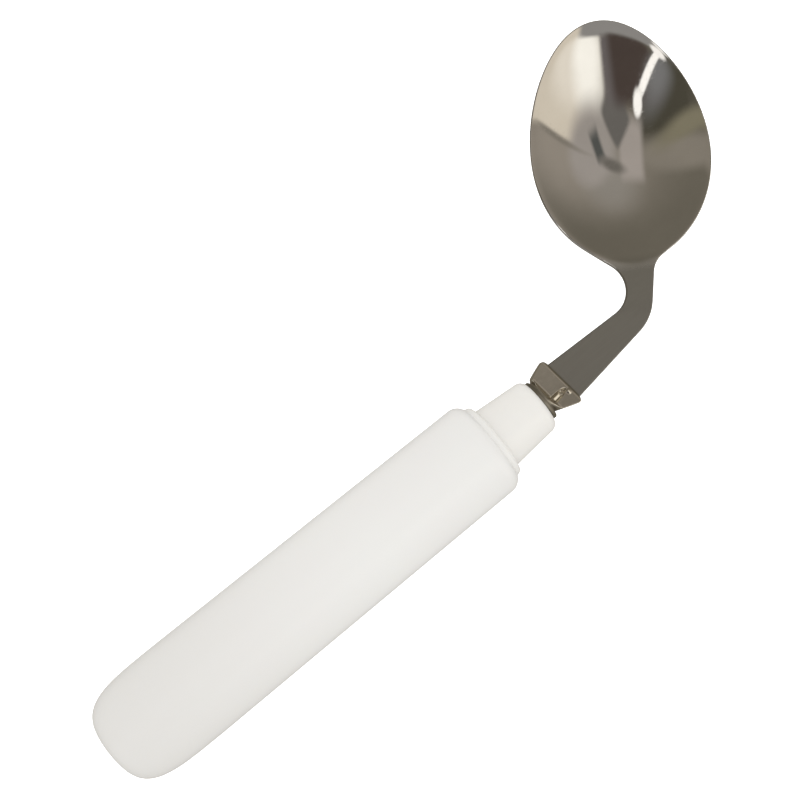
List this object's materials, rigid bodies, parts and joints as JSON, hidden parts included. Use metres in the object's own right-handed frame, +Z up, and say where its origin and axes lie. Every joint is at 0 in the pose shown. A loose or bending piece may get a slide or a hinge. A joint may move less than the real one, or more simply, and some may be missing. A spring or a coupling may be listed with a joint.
{
  "type": "built-up handle spoon",
  "caption": "Bent eating spoon with a thick hollow white plastic grip over a slim core, a flattened steel ferrule and a flat shank turned left to an egg-shaped polished bowl.",
  "frame": {"origin": "the middle of the spoon's outline on the table it lies on", "axes": "+X runs along the grip from its butt end towards the bowl, +Z is up with the bowl open upwards, and +Y is the side to which the bowl is bent. The grip lies on its tapered side, so its axis dips towards the bowl by its draft of 0.62 degrees."},
  "size_m": [0.2068, 0.0776, 0.0263],
  "materials": {
    "spoon_steel": "polished",
    "ferrule_steel": "satin, pressed",
    "seal_resin": "cast",
    "core_plastic": "smooth, slightly warm white",
    "pin_steel": "drawn",
    "bush_plastic": "smooth",
    "rear_plastic": "smooth",
    "grip_plastic": "smooth, soft gloss"
  },
  "bodies": {
    "root": {"spoon_head": "spoon_steel", "ferrule": "ferrule_steel", "tang_seal": "seal_resin", "handle_core": "core_plastic", "tang_pin": "pin_steel", "front_bush": "bush_plastic", "rear_bush": "rear_plastic", "grip_shell": "grip_plastic"}
  },
  "joints": []
}
